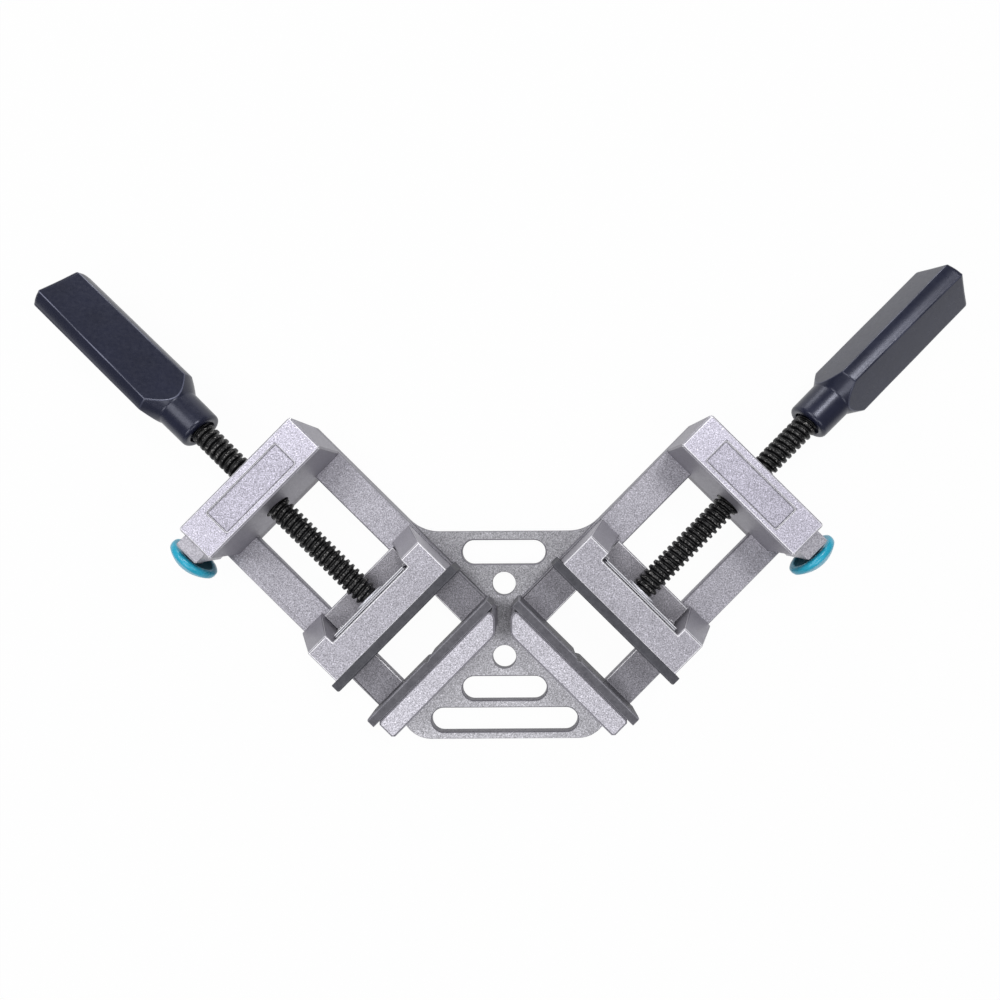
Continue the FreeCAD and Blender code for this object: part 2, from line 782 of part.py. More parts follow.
def thrust_washer(arm):
    outer = S.washer_width / 2
    inner = S.neck_width / 2 + S.washer_play
    start = retainer_back + S.washer_play
    body = turned_piece(arm, "thrust_washer", [
        (start, inner),
        (start, outer),
        (start + S.washer_thick, outer),
        (start + S.washer_thick, inner),
    ])
    place_on_jaw(body, arm, S.screw_height)


FLAT_DIRECTIONS = [(0.0, 1.0), (-sqrt(0.75), -0.5), (sqrt(0.75), -0.5)]


def handle(arm):
    """A triangular bar with cut-off corners, turned down to a round neck at the screw's end."""
    body = new_body(arm.label("handle"))
    section = new_sketch(body, "YZ_Plane", arm.label("handle_section"), lift=S.handle_start)
    reach = S.handle_inradius
    half_flat = (S.handle_corner * 2 - reach) / sqrt(3)
    points = []
    for flat in range(3):
        across, up = FLAT_DIRECTIONS[flat]
        for side in (-1, 1):
            points.append((reach * across - half_flat * (side * up), reach * up + half_flat * (side * across)))
    add_polygon(section, points)
    pad(body, section, arm.label("handle_bar"), S.handle_length)
    end = S.handle_start + S.handle_length
    dress(body, "Chamfer", arm.label("handle_edges"), S.handle_edge, lambda e: runs_along(e, 0))
    dress(body, "Chamfer", arm.label("handle_end"), S.handle_end_edge, lambda e: near(e.BoundBox.XMin, end))
    neck = S.handle_neck_width / 2
    neck_stop = S.handle_start + S.handle_neck
    outside = S.handle_corner + S.handle_edge * 2
    shoulder = new_sketch(body, "XY_Plane", arm.label("shoulder_outline"))
    add_polygon(shoulder, [
        (S.handle_start, neck),
        (neck_stop, neck),
        (neck_stop + S.handle_shoulder, outside),
        (S.handle_start, outside),
    ])
    turned(body, "Groove", shoulder, arm.label("neck_and_shoulder"), "H_Axis")
    mouth = new_sketch(body, "YZ_Plane", arm.label("mouth_circle"), lift=S.handle_start)
    add_circle(mouth, (ZERO, ZERO), S.socket_mouth)
    pocket(body, mouth, arm.label("mouth"), S.socket_mouth_depth, reverse=True)
    socket = new_sketch(body, "YZ_Plane", arm.label("socket_circle"), lift=S.handle_start)
    add_circle(socket, (ZERO, ZERO), S.shank_width)
    pocket(body, socket, arm.label("socket"), S.socket_mouth_depth + S.shank_length, reverse=True)
    place_on_jaw(keep(body, arm.label("handle")), arm, S.screw_height, plain(arm.roll))


# Quick release: the half nut slides in the bridge, pushed out by a spring and in by the button

def half_nut(arm):
    """A plate with a long hole. Its inner end holds the thread, and its free length clears it."""
    body = new_body(arm.label("half_nut"))
    start = nut_middle - S.nut_thick / 2
    outline = new_sketch(body, "YZ_Plane", arm.label("nut_outline"), lift=start)
    inner_end = S.nut_inner_reach * -arm.hand
    outer_end = S.nut_outer_reach * arm.hand
    add_rectangle(outline, (inner_end, nut_bottom), (outer_end, nut_top))
    pad(body, outline, arm.label("nut_plate"), S.nut_thick)
    dress(body, "Chamfer", arm.label("nut_corners"), S.nut_corner,
          lambda e: near(centre_of(e).y, outer_end) and near(e.BoundBox.YLength, ZERO))
    travel = S.release_travel + S.release_spare
    window = new_sketch(body, "YZ_Plane", arm.label("nut_window"), lift=start + S.nut_thick)
    add_slot(window, (travel / 2 * arm.hand, S.screw_height), travel, S.screw_major + S.thread_gap * 2)
    pocket(body, window, arm.label("nut_hole"), S.nut_thick)
    seat = new_sketch(body, "XZ_Plane", arm.label("seat_circle"), S.nut_inner_reach * arm.hand,
                      (nut_middle, S.screw_height))
    add_circle(seat, (ZERO, ZERO), S.spring_width + S.spring_play * 2)
    pocket(body, seat, arm.label("seat"), S.spring_seat, reverse=arm.hand < 0)
    stem = new_sketch(body, "XZ_Plane", arm.label("stem_circle"), S.nut_outer_reach * -arm.hand,
                      (nut_middle, button_height))
    add_circle(stem, (ZERO, ZERO), S.stem_width)
    pad(body, stem, arm.label("stem"), S.stem_length, reverse=arm.hand > 0)
    place_on_arm(keep(body, arm.label("half_nut")), arm)


CROWN_STEPS = [1.0, 0.5]


def release_button(arm):
    """A round button with a crowned face, pressed on the half nut's stem."""
    body = new_body(arm.label("release_button"))
    back = button_place * arm.hand
    floor = (S.nut_outer_reach + S.stem_length) * arm.hand
    stem = S.stem_width / 2 + S.stem_gap
    radius = S.button_width / 2
    outline = new_sketch(body, "XY_Plane", arm.label("button_outline"), button_height,
                         (nut_middle, ZERO))

    def on_crown(share):
        """Point of the crown's profile at a share of the button's radius, on a parabola."""
        rise = S.button_rim + S.button_dome * (1 - share ** 2)
        return (radius * share, (button_place + rise) * arm.hand)

    add_polygon(outline, [
        (ZERO, on_crown(CROWN_STEPS[-1])[1]),
        (ZERO, floor),
        (stem, floor),
        (stem, back),
        (radius, back),
    ] + [on_crown(share) for share in CROWN_STEPS])
    turned(body, "Revolution", outline, arm.label("button_turned"), "V_Axis")
    place_on_arm(keep(body, arm.label("release_button")), arm)


def release_spring(arm):
    """The space that the coil fills, from the end of the bridge's channel to the seat in the half nut."""
    body = new_body(arm.label("release_spring"))
    outline = new_sketch(body, "XY_Plane", arm.label("spring_outline"), S.screw_height, (nut_middle, ZERO))
    outer = S.spring_width / 2
    add_rectangle(outline, (outer - S.spring_wire, S.channel_reach * -arm.hand),
                  (outer, (S.spring_seat - S.nut_inner_reach) * arm.hand))
    turned(body, "Revolution", outline, arm.label("spring_turned"), "V_Axis")
    place_on_arm(keep(body, arm.label("release_spring")), arm)


frame_casting()
for one_arm in ARMS:
    fixed_jaw_pad(one_arm)
    moving_jaw(one_arm)
    moving_jaw_pad(one_arm)
    keeper_plate(one_arm)
    retaining_plate(one_arm)
    thrust_washer(one_arm)
    clamp_screw(one_arm)
    handle(one_arm)
    half_nut(one_arm)
    release_button(one_arm)
    release_spring(one_arm)
doc.recompute()

for thing in doc.Objects:
    if {"Invalid", "Error"} & set(thing.State):
        raise ValueError(f"{thing.Name} is {thing.State}")
for node in nodes:
    if node.Shape.isNull() or not node.Shape.isValid():
        raise ValueError(f"{node.Label} has no valid shape")

os.makedirs("parts", exist_ok=True)
for node in nodes:
    node.Shape.exportStep(f"parts/{node.Label}.step")
print(f"{len(nodes)} nodes, {sum(len(node.Shape.Solids) for node in nodes)} solids")
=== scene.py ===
from math import cos, pi, radians, sin, sqrt

import bmesh
import bpy
import numpy as np
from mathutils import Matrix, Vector


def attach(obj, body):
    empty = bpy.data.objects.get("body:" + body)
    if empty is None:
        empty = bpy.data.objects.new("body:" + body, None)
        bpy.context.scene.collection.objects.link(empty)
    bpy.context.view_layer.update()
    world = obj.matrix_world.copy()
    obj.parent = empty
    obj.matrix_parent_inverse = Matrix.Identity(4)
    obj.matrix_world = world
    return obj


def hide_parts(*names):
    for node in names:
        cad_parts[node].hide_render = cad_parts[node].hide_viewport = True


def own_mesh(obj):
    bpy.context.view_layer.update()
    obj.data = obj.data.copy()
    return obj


# Double-arm corner clamp: a die-cast frame with a fixed jaw for each arm, sliding jaws on the arms' rails,
# screws with plastic handles, and a half nut with a push button that frees each screw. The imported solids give
# every place. The pieces below give the finish, and each rides on the body that carries it. Lengths are in
# millimetres unless a comment says metres.

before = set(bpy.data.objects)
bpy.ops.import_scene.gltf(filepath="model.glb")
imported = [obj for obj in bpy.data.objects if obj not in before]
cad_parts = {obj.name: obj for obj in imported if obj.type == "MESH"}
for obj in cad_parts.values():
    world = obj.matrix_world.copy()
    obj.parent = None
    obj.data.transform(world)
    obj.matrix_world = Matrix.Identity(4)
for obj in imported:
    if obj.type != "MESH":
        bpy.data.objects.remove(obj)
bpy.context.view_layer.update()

MM = 0.001
FULL_TURN = 2.0 * pi

# For each arm: 1 on the left and -1 on the right, its bearing, the jaw's opening at rest, the roll of its
# handle, and how much painted highlight its handle's edges show.
ARMS = {
    "left": {"hand": 1, "turn": radians(135), "opening": 17.5, "roll": radians(30.0), "edge_highlight": 1.0},
    "right": {"hand": -1, "turn": radians(45), "opening": 20.65, "roll": radians(42.4), "edge_highlight": 0.4},
}


def add_object(name, data):
    """An object in the scene that shows a mesh, a lamp or a camera."""
    made = bpy.data.objects.new(name, data)
    bpy.context.scene.collection.objects.link(made)
    return made


# Camera, floor and lamps: the clamp lies on a pale floor and is seen from straight above, as with a telephone
# held 34 cm over the bench. Four soft lamps hang round the camera, one stands low behind the clamp, and the
# floor shows white.

eye = bpy.data.cameras.new("eye")
eye.sensor_width = 36.0
eye.lens = 24.88
eye.shift_x = -0.025
eye.shift_y = 0.008
eye.clip_start = 0.01
camera = add_object("camera", eye)
camera.location = (10.2 * MM, 36.0 * MM, 335.0 * MM)
camera.rotation_euler = (0.0, 0.0, radians(-0.35))
bpy.context.scene.camera = camera
bpy.context.scene.view_settings.view_transform = "Standard"

# A Mix node has several sockets of each name, so its colour sockets are found by their number.
MIX_SHARE = 0
MIX_ONE = 6
MIX_OTHER = 7
MIX_RESULT = 2

# Nearly all of a noise pattern lies between these two values.
NOISE_LOW = 0.3
NOISE_HIGH = 0.7


class Finish:
    """A material in the making. Its node calls return the output socket that carries the result."""

    def __init__(self, name):
        self.material = bpy.data.materials.new(name)
        self.material.use_nodes = True
        self.tree = self.material.node_tree
        self.shader = self.tree.nodes["Principled BSDF"]
        self.output = self.tree.nodes["Material Output"]
        self.places = self.tree.nodes.new("ShaderNodeTexCoord")

    def set(self, **values):
        """Sets the shader's own sockets, named with underscores for spaces."""
        for name, value in values.items():
            self.shader.inputs[name.replace("_", " ")].default_value = value

    def feed(self, node, name, value):
        """Links a socket to an input, or sets the input to a plain value."""
        if isinstance(value, bpy.types.NodeSocket):
            self.tree.links.new(value, node.inputs[name])
        else:
            node.inputs[name].default_value = value

    def texture(self, kind, size):
        """A texture's node, with features of a size in millimetres."""
        node = self.tree.nodes.new(kind)
        self.feed(node, "Vector", self.places.outputs["Object"])
        node.inputs["Scale"].default_value = 1.0 / (size * MM)
        return node

    def noise(self, size, detail=2.0, roughness=0.55):
        """Cloudy pattern."""
        node = self.texture("ShaderNodeTexNoise", size)
        node.inputs["Detail"].default_value = detail
        node.inputs["Roughness"].default_value = roughness
        return node.outputs["Fac"]

    def flakes(self, size):
        """A random shade for each of many small cells."""
        apart = self.tree.nodes.new("ShaderNodeSeparateColor")
        self.feed(apart, "Color", self.texture("ShaderNodeTexVoronoi", size).outputs["Color"])
        return apart.outputs["Red"]

    def spread(self, value, low, high, to_low=0.0, to_high=1.0):
        """Spreads the part of a value between low and high over a new range, and holds it at both ends."""
        node = self.tree.nodes.new("ShaderNodeMapRange")
        for name, number in (("Value", value), ("From Min", low), ("From Max", high),
                             ("To Min", to_low), ("To Max", to_high)):
            self.feed(node, name, number)
        return node.outputs["Result"]

    def vary(self, noise, to_low=0.0, to_high=1.0):
        """Spreads a noise pattern over a range."""
        return self.spread(noise, NOISE_LOW, NOISE_HIGH, to_low, to_high)

    def rise(self, place, low, high):
        """0 below one place and 1 above another, both in millimetres."""
        return self.spread(place, low * MM, high * MM)

    def fall(self, place, low, high):
        """1 below one place and 0 above another, both in millimetres."""
        return self.spread(place, low * MM, high * MM, 1.0, 0.0)

    def band(self, place, start, full, last, end):
        """Rises from 0 to 1 between the first two places, and falls back between the last two."""
        return self.work("MULTIPLY", self.rise(place, start, full), self.fall(place, last, end))

    def rest_of(self, share):
        """What a share leaves of 1."""
        return self.spread(share, 0.0, 1.0, 1.0, 0.0)

    def work(self, kind, one, other):
        """ADD, MULTIPLY, SUBTRACT or MAXIMUM of two values, or ABSOLUTE of the first."""
        node = self.tree.nodes.new("ShaderNodeMath")
        node.operation = kind
        self.feed(node, 0, one)
        self.feed(node, 1, other)
        return node.outputs[0]

    def both(self, *shares):
        """The product of two or more shares."""
        product = shares[0]
        for share in shares[1:]:
            product = self.work("MULTIPLY", product, share)
        return product

    def part_of(self, kind, axis):
        """One of X, Y and Z of the Object or the Normal coordinates."""
        apart = self.tree.nodes.new("ShaderNodeSeparateXYZ")
        self.feed(apart, "Vector", self.places.outputs[kind])
        return apart.outputs[axis]

    def stored(self, name):
        """A number that the mesh carries for each point."""
        node = self.tree.nodes.new("ShaderNodeAttribute")
        node.attribute_name = name
        return node.outputs["Fac"]

    def ramp(self, value, stops):
        """A colour that runs through the colours of several stops, each given with its place from 0 to 1."""
        node = self.tree.nodes.new("ShaderNodeValToRGB")
        elements = node.color_ramp.elements
        while len(elements) < len(stops):
            elements.new(0.5)
        for element, (place, colour) in zip(elements, stops):
            element.position = place
            element.color = colour
        self.feed(node, "Fac", value)
        return node.outputs["Color"]

    def mix(self, share, one, other):
        """A colour between two colours."""
        node = self.tree.nodes.new("ShaderNodeMix")
        node.data_type = "RGBA"
        self.feed(node, MIX_SHARE, share)
        self.feed(node, MIX_ONE, one)
        self.feed(node, MIX_OTHER, other)
        return node.outputs[MIX_RESULT]

    def scaled(self, colour, share):
        """A colour made darker or lighter by a share."""
        node = self.tree.nodes.new("ShaderNodeVectorMath")
        node.operation = "SCALE"
        self.feed(node, 0, colour)
        self.feed(node, "Scale", share)
        return node.outputs[0]

    def colour(self, value):
        self.feed(self.shader, "Base Color", value)

    def rough(self, value):
        self.feed(self.shader, "Roughness", value)

    def relief(self, height, depth, strength):
        """Fine relief of a depth in millimetres."""
        node = self.tree.nodes.new("ShaderNodeBump")
        node.inputs["Strength"].default_value = strength
        node.inputs["Distance"].default_value = depth * MM
        self.feed(node, "Height", height)
        self.tree.links.new(node.outputs["Normal"], self.shader.inputs["Normal"])


def srgb(red, green, blue):
    """A colour given as 0 to 255 on the screen, as the linear colour that the shader takes."""
    return tuple((value / 255.0) ** 2.2 for value in (red, green, blue)) + (1.0,)


FLOOR_GREYS = (0.40, 0.40, 0.40, 1.0), (0.44, 0.44, 0.44, 1.0)
FLOOR_GLOW = 1.02
FLOOR_GLOW_SHARE = 0.95

white_floor = Finish("white_floor")
white_floor.colour(white_floor.mix(white_floor.noise(300.0), *FLOOR_GREYS))
white_floor.set(Roughness=0.9)
seen = white_floor.tree.nodes.new("ShaderNodeLightPath")
direct = white_floor.work("MAXIMUM", seen.outputs["Is Camera Ray"], seen.outputs["Is Glossy Ray"])
direct = white_floor.work("MAXIMUM", direct, seen.outputs["Is Transmission Ray"])
glow = white_floor.tree.nodes.new("ShaderNodeEmission")
glow.inputs["Strength"].default_value = FLOOR_GLOW
blend_white = white_floor.tree.nodes.new("ShaderNodeMixShader")
white_floor.feed(blend_white, 0, white_floor.work("MULTIPLY", direct, FLOOR_GLOW_SHARE))
white_floor.tree.links.new(white_floor.shader.outputs[0], blend_white.inputs[1])
white_floor.tree.links.new(glow.outputs[0], blend_white.inputs[2])
white_floor.tree.links.new(blend_white.outputs[0], white_floor.output.inputs["Surface"])

# In metres, how far the floor reaches each way, and how far it lies below the clamp.
FLOOR_REACH = 3.0
FLOOR_DEPTH = 0.0001

floor_mesh = bpy.data.meshes.new("floor")
floor_corners = [(x * FLOOR_REACH, y * FLOOR_REACH, -FLOOR_DEPTH)
                 for x, y in ((-1, -1), (1, -1), (1, 1), (-1, 1))]
floor_mesh.from_pydata(floor_corners, [], [(0, 1, 2, 3)])
floor_mesh.materials.append(white_floor.material)
floor = add_object("floor", floor_mesh)

ROOM_LIGHT = 0.26

sky = bpy.data.worlds.new("room")
sky.use_nodes = True
room = sky.node_tree.nodes["Background"]
room.inputs["Color"].default_value = (0.95, 0.95, 1.0, 1.0)
room.inputs["Strength"].default_value = ROOM_LIGHT
looked_at = sky.node_tree.nodes.new("ShaderNodeLightPath")
plain_white = sky.node_tree.nodes.new("ShaderNodeBackground")
plain_white.inputs["Color"].default_value = (1.0, 1.0, 1.0, 1.0)
choice = sky.node_tree.nodes.new("ShaderNodeMixShader")
sky.node_tree.links.new(looked_at.outputs["Is Camera Ray"], choice.inputs[0])
sky.node_tree.links.new(room.outputs[0], choice.inputs[1])
sky.node_tree.links.new(plain_white.outputs[0], choice.inputs[2])
sky.node_tree.links.new(choice.outputs[0], sky.node_tree.nodes["World Output"].inputs["Surface"])
bpy.context.scene.world = sky

# For each lamp: bearing and rise in degrees, distance and width in metres, and power in watts. All are turned
# to one place over the bench, given in metres.
LAMPS = {
    "lamp_rear_right": (60.0, 61.0, 1.40, 0.34, 6.3),
    "lamp_rear_left": (150.0, 58.0, 1.35, 0.7, 5.2),
    "lamp_front_left": (235.0, 52.0, 1.35, 0.62, 4.3),
    "lamp_front_right": (305.0, 52.0, 1.35, 0.62, 3.4),
    "lamp_low_rear": (96.0, 8.0, 1.35, 0.5, 5.4),
}
LAMP_AIM = (0.0, 0.03, 0.0)

for name, (bearing, rise, distance, width, power) in LAMPS.items():
    lamp = bpy.data.lights.new(name, "AREA")
    lamp.shape = "SQUARE"
    lamp.size = width
    lamp.energy = power
    level = distance * cos(radians(rise))
    place = (level * cos(radians(bearing)), level * sin(radians(bearing)), distance * sin(radians(rise)))
    holder = add_object(name, lamp)
    holder.location = place
    holder.rotation_euler = (Vector(LAMP_AIM) - Vector(place)).to_track_quat("-Z", "Y").to_euler()


# Frame: one aluminium die casting, shot-blasted and painted silver, with a fine bright grain on the faces
# that look up. Its edges are slightly rounded by the die, rubbed bright, and painted bright as a highlight
# where they look up. The solid's own shape is kept.

# Bounds of the places where shade is painted into the casting, for Finish.rise, fall and band. Out is the
# distance from the middle plane, back the distance behind the rear bench hole, and up the height over the
# bench. Along and aside are counted as arm_places says. The panel is the sunk one on each bridge, and
# PANEL_LINE is counted outwards from its edge.
CHANNEL_OUT = (5.0, 8.0)
CHANNEL_BACK = (-27.0, -23.0, -11.0, -6.0)
CHANNEL_UP = (6.0, 12.0)
RAIL_ALONG = (1.0, 3.0, 20.0, 44.0)
RAIL_UP = (6.0, 8.0, 10.5, 12.0)
PLATE_ALONG = (0.0, 1.0)
CORNER_ALONG = (26.0, 27.0)
CORNER_ASIDE = (60.0, 61.0)
LOW_WALL_UP = (5.2, 7.0)
PANEL_ALONG = 107.5
PANEL_ASIDE = 43.6
PANEL_HALF_ALONG = 6.3
PANEL_HALF_ASIDE = 21.1
PANEL_LINE = (-0.95, -0.55, 0.15, 0.3)
PANEL_UP = (38.0, 38.5)
WEB_BACK = (-6.0, 4.0)
WEB_UP = (6.0, 7.0)


def arm_places(finish):
    """Where a point lies: out from the middle plane, back, up, along the nearer arm, and aside, from the
    arm's inner side towards its outer one."""
    out = finish.work("ABSOLUTE", finish.part_of("Object", "X"), 0.0)
    back = finish.part_of("Object", "Y")
    up = finish.part_of("Object", "Z")
    along = finish.work("MULTIPLY", finish.work("ADD", out, back), sqrt(0.5))
    aside = finish.work("MULTIPLY", finish.work("SUBTRACT", out, back), sqrt(0.5))
    return out, back, up, along, aside


def past_edge(finish, place, middle, half):
    """How far a place lies beyond the edge of a stretch, less than 0 inside it."""
    off_middle = finish.work("ABSOLUTE", finish.work("SUBTRACT", place, middle * MM), 0.0)
    return finish.work("SUBTRACT", off_middle, half * MM)


def shaded_places(finish, level):
    """Where shade is painted into the casting's colour: the channel between the fixed jaws, the rails' front
    ends, the walls of the plate's slots and holes, the line round the sunk panel on each bridge, and the
    plate's rear web. Each is a share from 0 to 1, with what is left of the light there."""
    out, back, up, along, aside = arm_places(finish)
    channel = finish.both(finish.fall(out, *CHANNEL_OUT), finish.band(back, *CHANNEL_BACK),
                          finish.fall(up, *CHANNEL_UP))
    rails = finish.both(finish.band(along, *RAIL_ALONG), finish.band(up, *RAIL_UP))
    at_corner = finish.both(finish.fall(along, *CORNER_ALONG), finish.fall(aside, *CORNER_ASIDE))
    on_plate = finish.work("MAXIMUM", finish.fall(along, *PLATE_ALONG), at_corner)
    low_walls = finish.both(on_plate, finish.fall(up, *LOW_WALL_UP), finish.rest_of(level))
    border = finish.work("MAXIMUM", past_edge(finish, along, PANEL_ALONG, PANEL_HALF_ALONG),
                         past_edge(finish, aside, PANEL_ASIDE, PANEL_HALF_ASIDE))
    panel_line = finish.both(finish.band(border, *PANEL_LINE), finish.rise(up, *PANEL_UP))
    rear_web = finish.both(finish.rise(back, *WEB_BACK), finish.fall(up, *WEB_UP))
    return [(channel, 0.54), (rails, 0.70), (low_walls, 0.6), (panel_line, 0.42), (rear_web, 0.72)]


# The upward part of a face's normal, where a face starts to count as level and where it fully does, and the
# height over the bench where the shades of level faces end.
LEVEL_NORMAL = (0.62, 0.9)
RAMP_HEIGHT = 40.0


def cast_silver(name, stops, wall, painted_shade=False):
    """Silver casting. Level faces take their shade from their height over the bench, given as stops in
    millimetres, and carry fine flecks. Upright faces are smoother and take the wall's shade. Both shades are
    painted light and shade: they set how bright each height and the upright faces look under the light."""
    finish = Finish(name)
    level = finish.spread(finish.part_of("Normal", "Z"), *LEVEL_NORMAL)
    height = finish.rise(finish.part_of("Object", "Z"), 0.0, RAMP_HEIGHT)
    tone = finish.mix(level, wall, finish.ramp(height, [(up / RAMP_HEIGHT, shade) for up, shade in stops]))
    clouds = finish.vary(finish.noise(16.0, 3.0), 0.94, 1.05)
    fine = finish.spread(finish.noise(0.52, 2.0, 0.7), 0.36, 0.64, 0.56, 1.44)
    flecks = finish.spread(finish.flakes(0.42), 0.82, 0.98, 1.0, 1.45)
    speckle = finish.work("SUBTRACT", finish.work("MULTIPLY", fine, flecks), 1.0)
    strength = finish.spread(level, 0.0, 1.0, 0.22, 1.0)
    share = finish.work("ADD", finish.work("MULTIPLY", speckle, strength), 1.0)
    if painted_shade:
        # Painted shade: each shaded place darkens the colour by its share.
        for dark, left_over in shaded_places(finish, level):
            share = finish.work("MULTIPLY", share, finish.spread(dark, 0.0, 1.0, 1.0, left_over))
    finish.colour(finish.scaled(tone, finish.work("MULTIPLY", share, clouds)))
    finish.rough(finish.vary(finish.noise(1.2, 2.0), 0.42, 0.60))
    finish.set(Metallic=0.5)
    finish.relief(finish.work("ADD", finish.noise(0.5, 3.0, 0.6), finish.noise(4.0)), 0.05, 0.5)
    return finish.material


# Bounds of the rails' outer part, and of the edges that stand high, look up and lie out along an arm, where
# the painted highlight goes. A rubbed edge keeps at least RUB_LEAST of its brightness.
RAIL_EDGE_ALONG = (22.0, 40.0)
RAIL_EDGE_UP = (10.3, 10.8)
RAISED_ALONG = (1.5, 3.0)
RAISED_UP = (7.0, 8.5)
RAISED_NORMAL = (0.42, 0.6)
RUB_LEAST = 0.82


def worn_and_highlit_edge(name, shade, wall):
    """The casting's edges: rubbed smooth, and painted bright as a highlight, where they look up and stand high;
    like the walls, in a painted darker shade, on upright corners, on the fixed blocks, on the rails' outer
    part, and low down round the plate, its slots and its holes."""
    finish = Finish(name)
    duller = tuple(RUB_LEAST * value for value in shade)
    rubbed_and_highlit = finish.mix(finish.spread(finish.noise(2.2, 3.0, 0.7), 0.35, 0.65), shade, duller)
    up, along = arm_places(finish)[2:4]
    rail = finish.both(finish.rise(along, *RAIL_EDGE_ALONG), finish.fall(up, *RAIL_EDGE_UP))
    looks_up = finish.spread(finish.part_of("Normal", "Z"), *RAISED_NORMAL)
    raised = finish.both(looks_up, finish.rise(up, *RAISED_UP), finish.rest_of(rail),
                         finish.rise(along, *RAISED_ALONG))
    # The near-white shade is a painted highlight on edges that look up; the wall shade elsewhere is painted
    # shade.
    finish.colour(finish.mix(raised, wall, rubbed_and_highlit))
    finish.rough(finish.vary(finish.noise(0.8), 0.30, 0.45))
    finish.set(Metallic=0.3)
    finish.relief(finish.noise(0.5), 0.02, 0.4)
    return finish.material


# Triangles are joined at points nearer than MERGE, and across edges that turn less than FLAT_TURN. Edges that
# turn more than EDGE_TURN are rounded. A chamfer is a strip narrower than CHAMFER, and the upward part of its
# normal lies between the two bounds of CHAMFER_LEAN. Two sides of a slit that stand less than ROUNDINGS_APART
# times a rounding's width apart, and turn back by a cosine of TURNS_BACK or less, aren't rounded.
MERGE = 0.002
FLAT_TURN = radians(0.4)
EDGE_TURN = radians(30)
CHAMFER = 1.2
CHAMFER_LEAN = (0.6, 0.8)
ROUNDINGS_APART = 2.2
TURNS_BACK = -0.9


def weigh_edges(shape, least):
    """Gives the edges that are to be rounded a weight of 1. Where the outline of a larger flat face turns
    back on itself within less than the least length, as in a narrow slit, the roundings would cross, and its
    edges stay sharp."""
    weight = shape.edges.layers.float.new("bevel_weight_edge")
    for edge in shape.edges:
        edge[weight] = 1.0 if edge.calc_face_angle(0.0) > EDGE_TURN else 0.0
    for face in shape.faces:
        if len(face.verts) <= 4:
            continue
        for loop in face.loops:
            before, after = loop.link_loop_prev, loop.link_loop_next
            coming = (loop.vert.co - before.vert.co).normalized()
            going = (after.link_loop_next.vert.co - after.vert.co).normalized()
            if loop.edge.calc_length() < least and coming.dot(going) < TURNS_BACK:
                for edge in (before.edge, loop.edge, after.edge):
                    edge[weight] = 0.0
                    edge.smooth = False


def rounded_copy(node, name, materials, body, width, segments=2):
    """Copy of a solid, its loose triangles joined and its flat faces merged, with its edges rounded. The
    chamfers along its top edges take the last material, as the rounded edges do."""
    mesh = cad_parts[node].data.copy()
    for label in ("custom_normal", "sharp_edge", "sharp_face"):
        if label in mesh.attributes:
            mesh.attributes.remove(mesh.attributes[label])
    shape = bmesh.new()
    shape.from_mesh(mesh)
    bmesh.ops.remove_doubles(shape, verts=shape.verts, dist=MERGE * MM)
    bmesh.ops.dissolve_limit(shape, angle_limit=FLAT_TURN, verts=shape.verts, edges=shape.edges)
    for face in shape.faces:
        narrow = 2.0 * face.calc_area() / face.calc_perimeter() < CHAMFER * MM
        leans = CHAMFER_LEAN[0] < face.normal.z < CHAMFER_LEAN[1]
        face.smooth = True
        face.material_index = len(materials) - 1 if narrow and leans else 0
    weigh_edges(shape, ROUNDINGS_APART * width * MM)
    shape.to_mesh(mesh)
    shape.free()
    mesh.materials.clear()
    for material in materials:
        mesh.materials.append(material)
    piece = add_object(name, mesh)
    rounding = piece.modifiers.new("edges", "BEVEL")
    rounding.width = width * MM
    rounding.segments = segments
    rounding.limit_method = "WEIGHT"
    rounding.use_clamp_overlap = False
    rounding.miter_outer = "MITER_ARC"
    rounding.harden_normals = True
    rounding.material = len(materials) - 1
    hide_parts(node)
    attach(piece, body)


CAST_ROUNDING = 0.18

# The stops and wall shades paint light and shade into the castings: lighter tops, and darker low places such as
# the jaw's shelf.
silver_frame = cast_silver("silver_frame", [
    (6.0, srgb(178, 177, 182)),
    (8.0, srgb(158, 156, 164)),
    (20.0, srgb(178, 176, 184)),
    (29.0, srgb(186, 184, 192)),
    (39.3, srgb(174, 171, 184)),
    (39.8, srgb(190, 187, 200)),
], srgb(150, 148, 156), painted_shade=True)
silver_jaw = cast_silver("silver_jaw", [
    (16.0, srgb(138, 136, 142)),
    (29.0, srgb(165, 163, 171)),
], srgb(172, 170, 177))
silver_edge = worn_and_highlit_edge("silver_edge", srgb(252, 251, 255), srgb(112, 110, 118))

rounded_copy("frame_casting", "cast_frame", [silver_frame, silver_edge], "frame",
             CAST_ROUNDING)


# Pads: dark moulded plates, one on each fixed block and one on each moving jaw. The fixed ones have an
# upright groove that seats a round workpiece. Their surface is dull, with a fine pebbled grain.

PAD_ROUNDING = 0.3


def charcoal(name, low, high):
    """Dull dark moulding, pebbled, between two shades."""
    finish = Finish(name)
    coarse = finish.vary(finish.noise(3.0, 4.0))
    fine = finish.vary(finish.noise(0.7, 2.0, 0.6))
    finish.colour(finish.mix(finish.work("MULTIPLY", finish.work("ADD", coarse, fine), 0.5), low, high))
    finish.rough(finish.vary(finish.noise(0.9), 0.48, 0.66))
    finish.relief(finish.noise(0.5, 3.0, 0.6), 0.05, 0.5)
    return finish.material


fixed_charcoal = charcoal("fixed_charcoal", srgb(64, 63, 70), srgb(96, 95, 101))
moving_charcoal = charcoal("moving_charcoal", srgb(46, 46, 53), srgb(74, 74, 80))
